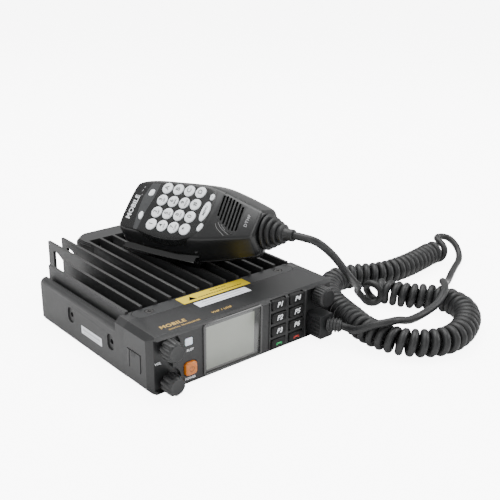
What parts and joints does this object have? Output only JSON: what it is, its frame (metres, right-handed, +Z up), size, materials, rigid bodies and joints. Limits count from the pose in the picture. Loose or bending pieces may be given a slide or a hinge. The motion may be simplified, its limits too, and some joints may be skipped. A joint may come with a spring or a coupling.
{
  "type": "mobile transceiver",
  "caption": "Finned radio unit with knobs, keys and display on its front panel; keypad hand microphone rests on the fins, joined by a curly cord.",
  "frame": {"origin": "centre of the main unit's underside", "axes": "+Z up, -Y out of the front panel, +X to the right of the front panel seen from the front"},
  "size_m": [0.3108, 0.2489, 0.086],
  "materials": {
    "casting": "satin black",
    "cover": "satin black",
    "panel": "fine matte",
    "strip": "satin",
    "screw": "black zinc",
    "window": "clear over a grey green display",
    "display": "grey green",
    "indicator": "milky",
    "power": "lit amber",
    "knob": "matte",
    "key": "matte",
    "board": "satin",
    "fan": "matte",
    "connector": "nickel plated",
    "socket": "matte",
    "speaker": "matte",
    "mic": "fine matte",
    "talk": "satin",
    "dial": "matte white",
    "stud": "satin",
    "cord": "satin"
  },
  "bodies": {
    "unit": {"chassis": "casting", "bottom_cover": "cover", "front_panel": "panel", "panel_strip": "strip", "case_screws": "screw", "display_lens": "window", "lcd_module": "display", "indicator_lens": "indicator", "control_board": "board", "main_board": "board", "fan_frame": "fan", "antenna_socket": "connector", "dc_inlet": "socket", "speaker": "speaker", "mic_plug": "cord", "cord_lead_plug": "cord", "cord_coil": "cord", "cord_lead_mic": "cord"},
    "mic": {"mic_front": "mic", "mic_back": "mic", "mic_boot": "cord", "hang_stud": "stud", "mic_screws": "screw", "mic_board": "board"},
    "knob_upper": {"knob_upper": "knob"},
    "knob_lower": {"knob_lower": "knob"},
    "knob_right": {"knob_right": "knob"},
    "power_button": {"power_button": "power"},
    "release_latch": {"release_latch": "panel"},
    "fan_rotor": {"fan_rotor": "fan"},
    "ptt_bar": {"ptt_bar": "talk"},
    "key_p1": {"key_p1": "key"},
    "key_p2": {"key_p2": "key"},
    "key_p3": {"key_p3": "key"},
    "key_call": {"key_call": "key"},
    "key_p4": {"key_p4": "key"},
    "key_p5": {"key_p5": "key"},
    "key_p6": {"key_p6": "key"},
    "key_end": {"key_end": "key"},
    "dial_1": {"dial_1": "dial"},
    "dial_4": {"dial_4": "dial"},
    "dial_7": {"dial_7": "dial"},
    "dial_star": {"dial_star": "dial"},
    "dial_2": {"dial_2": "dial"},
    "dial_5": {"dial_5": "dial"},
    "dial_8": {"dial_8": "dial"},
    "dial_0": {"dial_0": "dial"},
    "dial_3": {"dial_3": "dial"},
    "dial_6": {"dial_6": "dial"},
    "dial_9": {"dial_9": "dial"},
    "dial_hash": {"dial_hash": "dial"},
    "dial_a": {"dial_a": "dial"},
    "dial_b": {"dial_b": "dial"},
    "dial_c": {"dial_c": "dial"},
    "dial_d": {"dial_d": "dial"},
    "mic_key_wide": {"mic_key_wide": "dial"},
    "mic_key_upper": {"mic_key_upper": "dial"},
    "mic_key_lower": {"mic_key_lower": "dial"},
    "mic_key_lock": {"mic_key_lock": "dial"},
    "mic_key_light": {"mic_key_light": "dial"}
  },
  "joints": [
    {"name": "knob_upper_turn", "type": "hinge", "parent": "unit", "child": "knob_upper", "pos_m": [-0.0598, -0.0855, 0.0274], "axis": [0, -1, 0], "continuous": true},
    {"name": "knob_lower_turn", "type": "hinge", "parent": "unit", "child": "knob_lower", "pos_m": [-0.0598, -0.0855, 0.0068], "axis": [0, -1, 0], "range_deg": [-140, 140]},
    {"name": "knob_right_turn", "type": "hinge", "parent": "unit", "child": "knob_right", "pos_m": [0.0556, -0.0855, 0.0276], "axis": [0, -1, 0], "continuous": true},
    {"name": "power_press", "type": "slide", "parent": "unit", "child": "power_button", "axis": [0, 1, 0], "range_m": [0, 0.0008], "stiffness_N_per_m": 400, "springref_m": -0.0008},
    {"name": "key_p1_press", "type": "slide", "parent": "unit", "child": "key_p1", "axis": [0, 1, 0], "range_m": [0, 0.0008], "stiffness_N_per_m": 400, "springref_m": -0.0008},
    {"name": "key_p2_press", "type": "slide", "parent": "unit", "child": "key_p2", "axis": [0, 1, 0], "range_m": [0, 0.0008], "stiffness_N_per_m": 400, "springref_m": -0.0008},
    {"name": "key_p3_press", "type": "slide", "parent": "unit", "child": "key_p3", "axis": [0, 1, 0], "range_m": [0, 0.0008], "stiffness_N_per_m": 400, "springref_m": -0.0008},
    {"name": "key_call_press", "type": "slide", "parent": "unit", "child": "key_call", "axis": [0, 1, 0], "range_m": [0, 0.0008], "stiffness_N_per_m": 400, "springref_m": -0.0008},
    {"name": "key_p4_press", "type": "slide", "parent": "unit", "child": "key_p4", "axis": [0, 1, 0], "range_m": [0, 0.0008], "stiffness_N_per_m": 400, "springref_m": -0.0008},
    {"name": "key_p5_press", "type": "slide", "parent": "unit", "child": "key_p5", "axis": [0, 1, 0], "range_m": [0, 0.0008], "stiffness_N_per_m": 400, "springref_m": -0.0008},
    {"name": "key_p6_press", "type": "slide", "parent": "unit", "child": "key_p6", "axis": [0, 1, 0], "range_m": [0, 0.0008], "stiffness_N_per_m": 400, "springref_m": -0.0008},
    {"name": "key_end_press", "type": "slide", "parent": "unit", "child": "key_end", "axis": [0, 1, 0], "range_m": [0, 0.0008], "stiffness_N_per_m": 400, "springref_m": -0.0008},
    {"name": "latch_press", "type": "slide", "parent": "unit", "child": "release_latch", "axis": [1, 0, 0], "range_m": [0, 0.0012], "stiffness_N_per_m": 800, "springref_m": -0.001},
    {"name": "fan_turn", "type": "hinge", "parent": "unit", "child": "fan_rotor", "pos_m": [0, 0.0787, 0.0168], "axis": [0, -1, 0], "continuous": true},
    {"name": "mic_lift", "type": "slide", "parent": "unit", "child": "mic", "axis": [0, 0, 1], "range_m": [0, 0.03]},
    {"name": "talk_press", "type": "hinge", "parent": "mic", "child": "ptt_bar", "pos_m": [0.00965, -0.02392, 0.04566], "axis": [-0.6933, -0.1475, 0.7054], "range_deg": [-1.2, 0], "stiffness_Nm_per_rad": 0.6, "springref_deg": 1.72},
    {"name": "dial_1_press", "type": "slide", "parent": "mic", "child": "dial_1", "axis": [0.6933, 0.1475, -0.7054], "range_m": [0, 0.0006], "stiffness_N_per_m": 300, "springref_m": -0.0006},
    {"name": "dial_4_press", "type": "slide", "parent": "mic", "child": "dial_4", "axis": [0.6933, 0.1475, -0.7054], "range_m": [0, 0.0006], "stiffness_N_per_m": 300, "springref_m": -0.0006},
    {"name": "dial_7_press", "type": "slide", "parent": "mic", "child": "dial_7", "axis": [0.6933, 0.1475, -0.7054], "range_m": [0, 0.0006], "stiffness_N_per_m": 300, "springref_m": -0.0006},
    {"name": "dial_star_press", "type": "slide", "parent": "mic", "child": "dial_star", "axis": [0.6933, 0.1475, -0.7054], "range_m": [0, 0.0006], "stiffness_N_per_m": 300, "springref_m": -0.0006},
    {"name": "dial_2_press", "type": "slide", "parent": "mic", "child": "dial_2", "axis": [0.6933, 0.1475, -0.7054], "range_m": [0, 0.0006], "stiffness_N_per_m": 300, "springref_m": -0.0006},
    {"name": "dial_5_press", "type": "slide", "parent": "mic", "child": "dial_5", "axis": [0.6933, 0.1475, -0.7054], "range_m": [0, 0.0006], "stiffness_N_per_m": 300, "springref_m": -0.0006},
    {"name": "dial_8_press", "type": "slide", "parent": "mic", "child": "dial_8", "axis": [0.6933, 0.1475, -0.7054], "range_m": [0, 0.0006], "stiffness_N_per_m": 300, "springref_m": -0.0006},
    {"name": "dial_0_press", "type": "slide", "parent": "mic", "child": "dial_0", "axis": [0.6933, 0.1475, -0.7054], "range_m": [0, 0.0006], "stiffness_N_per_m": 300, "springref_m": -0.0006},
    {"name": "dial_3_press", "type": "slide", "parent": "mic", "child": "dial_3", "axis": [0.6933, 0.1475, -0.7054], "range_m": [0, 0.0006], "stiffness_N_per_m": 300, "springref_m": -0.0006},
    {"name": "dial_6_press", "type": "slide", "parent": "mic", "child": "dial_6", "axis": [0.6933, 0.1475, -0.7054], "range_m": [0, 0.0006], "stiffness_N_per_m": 300, "springref_m": -0.0006},
    {"name": "dial_9_press", "type": "slide", "parent": "mic", "child": "dial_9", "axis": [0.6933, 0.1475, -0.7054], "range_m": [0, 0.0006], "stiffness_N_per_m": 300, "springref_m": -0.0006},
    {"name": "dial_hash_press", "type": "slide", "parent": "mic", "child": "dial_hash", "axis": [0.6933, 0.1475, -0.7054], "range_m": [0, 0.0006], "stiffness_N_per_m": 300, "springref_m": -0.0006},
    {"name": "dial_a_press", "type": "slide", "parent": "mic", "child": "dial_a", "axis": [0.6933, 0.1475, -0.7054], "range_m": [0, 0.0006], "stiffness_N_per_m": 300, "springref_m": -0.0006},
    {"name": "dial_b_press", "type": "slide", "parent": "mic", "child": "dial_b", "axis": [0.6933, 0.1475, -0.7054], "range_m": [0, 0.0006], "stiffness_N_per_m": 300, "springref_m": -0.0006},
    {"name": "dial_c_press", "type": "slide", "parent": "mic", "child": "dial_c", "axis": [0.6933, 0.1475, -0.7054], "range_m": [0, 0.0006], "stiffness_N_per_m": 300, "springref_m": -0.0006},
    {"name": "dial_d_press", "type": "slide", "parent": "mic", "child": "dial_d", "axis": [0.6933, 0.1475, -0.7054], "range_m": [0, 0.0006], "stiffness_N_per_m": 300, "springref_m": -0.0006},
    {"name": "mic_key_wide_press", "type": "slide", "parent": "mic", "child": "mic_key_wide", "axis": [0.6933, 0.1475, -0.7054], "range_m": [0, 0.0006], "stiffness_N_per_m": 300, "springref_m": -0.0006},
    {"name": "mic_key_upper_press", "type": "slide", "parent": "mic", "child": "mic_key_upper", "axis": [0.6933, 0.1475, -0.7054], "range_m": [0, 0.0006], "stiffness_N_per_m": 300, "springref_m": -0.0006},
    {"name": "mic_key_lower_press", "type": "slide", "parent": "mic", "child": "mic_key_lower", "axis": [0.6933, 0.1475, -0.7054], "range_m": [0, 0.0006], "stiffness_N_per_m": 300, "springref_m": -0.0006},
    {"name": "mic_key_lock_press", "type": "slide", "parent": "mic", "child": "mic_key_lock", "axis": [0.6933, 0.1475, -0.7054], "range_m": [0, 0.0006], "stiffness_N_per_m": 300, "springref_m": -0.0006},
    {"name": "mic_key_light_press", "type": "slide", "parent": "mic", "child": "mic_key_light", "axis": [0.6933, 0.1475, -0.7054], "range_m": [0, 0.0006], "stiffness_N_per_m": 300, "springref_m": -0.0006}
  ]
}
